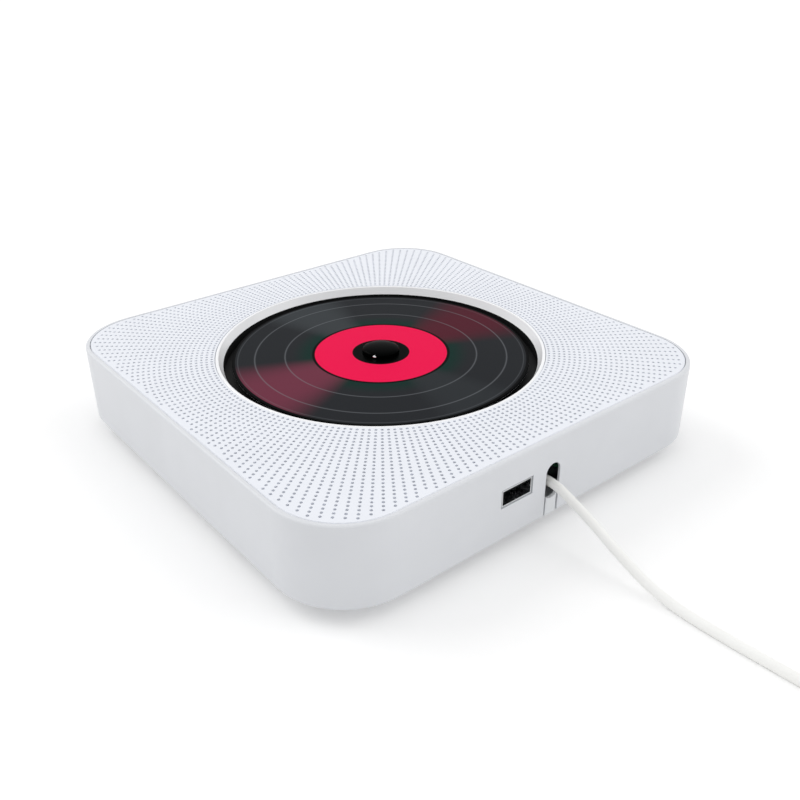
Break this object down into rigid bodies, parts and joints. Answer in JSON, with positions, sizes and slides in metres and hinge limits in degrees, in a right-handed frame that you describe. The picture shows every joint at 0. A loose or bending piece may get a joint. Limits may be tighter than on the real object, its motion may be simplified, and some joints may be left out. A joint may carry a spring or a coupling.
{
  "type": "wall mounted cd player",
  "caption": "Square wall mounted CD player with rounded corners, an open disc well, a perforated front plate and a pull lead.",
  "frame": {"origin": "on the wall face of the feet, under the disc spindle at the body's centre", "axes": "+Z from the wall face to the front, +X towards the lower edge with the USB opening and the lead, +Y across"},
  "size_m": [0.3492, 0.189, 0.037],
  "materials": {
    "shell_white": "satin",
    "plate_white": "satin",
    "well_white": "smooth",
    "cover_white": "fine texture",
    "foot_rubber": "matt",
    "screw_steel": "zinc plated",
    "pressed_steel": "pressed",
    "ferrite": "matt",
    "cone_paper": "pressed",
    "board_green": "solder resist",
    "black_moulding": "satin",
    "plated_steel": "nickel plated",
    "white_acetal": "moulded",
    "cord_cover": "smooth",
    "tie_black": "woven",
    "chassis_black": "moulded",
    "motor_steel": "drawn",
    "ground_steel": "ground",
    "hub_black": "polished",
    "ball_steel": "polished",
    "disc_black": "polished, with a pink label ring",
    "gear_brass": "cut",
    "lens_glass": "coated",
    "button_white": "smooth"
  },
  "bodies": {
    "player": {"side_shell": "shell_white", "front_plate": "plate_white", "speaker_grille_left": "plate_white", "speaker_grille_right": "plate_white", "disc_well": "well_white", "rear_cover": "cover_white", "rubber_feet": "foot_rubber", "cover_screws": "screw_steel", "well_screws": "screw_steel", "speaker_frame_left": "pressed_steel", "speaker_frame_right": "pressed_steel", "speaker_magnet_left": "ferrite", "speaker_magnet_right": "ferrite", "speaker_cone_left": "cone_paper", "speaker_cone_right": "cone_paper", "main_board": "board_green", "board_screws": "screw_steel", "board_parts": "black_moulding", "usb_socket": "plated_steel", "usb_tongue": "black_moulding", "button_board": "board_green", "tact_switches": "black_moulding", "audio_jack": "black_moulding", "ir_receiver": "black_moulding", "pull_switch": "black_moulding", "mech_chassis": "chassis_black", "rubber_dampers": "foot_rubber", "damper_screws": "screw_steel", "spindle_motor": "motor_steel", "sled_motor": "motor_steel", "gear_axle": "ground_steel", "guide_rod_main": "ground_steel", "guide_rod_rear": "ground_steel"},
    "spindle": {"spindle_shaft": "ground_steel", "turntable": "hub_black", "turntable_pad": "foot_rubber"},
    "ball_1": {"chuck_ball_1": "ball_steel"},
    "ball_2": {"chuck_ball_2": "ball_steel"},
    "ball_3": {"chuck_ball_3": "ball_steel"},
    "disc": {"compact_disc": "disc_black"},
    "sled": {"pickup_body": "chassis_black", "pickup_rack": "white_acetal"},
    "lens": {"lens_holder": "black_moulding", "objective_lens": "lens_glass"},
    "double_gear": {"sled_gear": "white_acetal"},
    "pinion": {"motor_pinion": "gear_brass"},
    "lead": {"pull_carriage": "white_acetal", "strain_relief": "cord_cover", "power_lead": "cord_cover", "lead_coil": "cord_cover", "lead_tie": "tie_black", "usb_plug_body": "cord_cover", "usb_plug_shell": "plated_steel"},
    "key_1": {"button_1": "button_white"},
    "key_2": {"button_2": "button_white"},
    "key_3": {"button_3": "button_white"},
    "key_4": {"button_4": "button_white"},
    "key_5": {"button_5": "button_white"},
    "key_6": {"button_6": "button_white"}
  },
  "joints": [
    {"name": "spindle_spin", "type": "hinge", "parent": "player", "child": "spindle", "pos_m": [0, 0, 0.0296], "axis": [0, 0, 1], "continuous": true},
    {"name": "disc_lift", "type": "slide", "parent": "spindle", "child": "disc", "axis": [0, 0, 1], "range_m": [0, 0.025]},
    {"name": "ball_1_slide", "type": "slide", "parent": "spindle", "child": "ball_1", "axis": [-0.5, -0.866, 0], "range_m": [0, 0.0004], "stiffness_N_per_m": 200, "springref_m": -0.0004},
    {"name": "ball_2_slide", "type": "slide", "parent": "spindle", "child": "ball_2", "axis": [1, 0, 0], "range_m": [0, 0.0004], "stiffness_N_per_m": 200, "springref_m": -0.0004},
    {"name": "ball_3_slide", "type": "slide", "parent": "spindle", "child": "ball_3", "axis": [-0.5, 0.866, 0], "range_m": [0, 0.0004], "stiffness_N_per_m": 200, "springref_m": -0.0004},
    {"name": "sled_slide", "type": "slide", "parent": "player", "child": "sled", "axis": [-1, 0, 0], "range_m": [0, 0.0335]},
    {"name": "double_gear_spin", "type": "hinge", "parent": "player", "child": "double_gear", "pos_m": [-0.03, -0.0366, 0.024], "axis": [0, 0, 1], "range_deg": [-2, 536]},
    {"name": "pinion_spin", "type": "hinge", "parent": "player", "child": "pinion", "pos_m": [-0.04148, -0.0366, 0.024], "axis": [0, 0, 1], "range_deg": [-1496, 3]},
    {"name": "lens_focus", "type": "slide", "parent": "sled", "child": "lens", "axis": [0, 0, 1], "range_m": [-0.0003, 0.0003], "stiffness_N_per_m": 120},
    {"name": "lead_pull", "type": "slide", "parent": "player", "child": "lead", "axis": [1, 0, 0], "range_m": [0, 0.003], "stiffness_N_per_m": 1000},
    {"name": "button_1_press", "type": "slide", "parent": "player", "child": "key_1", "axis": [1, 0, 0], "range_m": [0, 0.0005], "stiffness_N_per_m": 1500},
    {"name": "button_2_press", "type": "slide", "parent": "player", "child": "key_2", "axis": [1, 0, 0], "range_m": [0, 0.0005], "stiffness_N_per_m": 1500},
    {"name": "button_3_press", "type": "slide", "parent": "player", "child": "key_3", "axis": [1, 0, 0], "range_m": [0, 0.0005], "stiffness_N_per_m": 1500},
    {"name": "button_4_press", "type": "slide", "parent": "player", "child": "key_4", "axis": [1, 0, 0], "range_m": [0, 0.0005], "stiffness_N_per_m": 1500},
    {"name": "button_5_press", "type": "slide", "parent": "player", "child": "key_5", "axis": [1, 0, 0], "range_m": [0, 0.0005], "stiffness_N_per_m": 1500},
    {"name": "button_6_press", "type": "slide", "parent": "player", "child": "key_6", "axis": [1, 0, 0], "range_m": [0, 0.0005], "stiffness_N_per_m": 1500}
  ],
  "couplings": [
    {"joint": "double_gear_spin", "follows": "sled_slide", "rad_per_m": 277.78},
    {"joint": "pinion_spin", "follows": "sled_slide", "rad_per_m": -777.78}
  ]
}
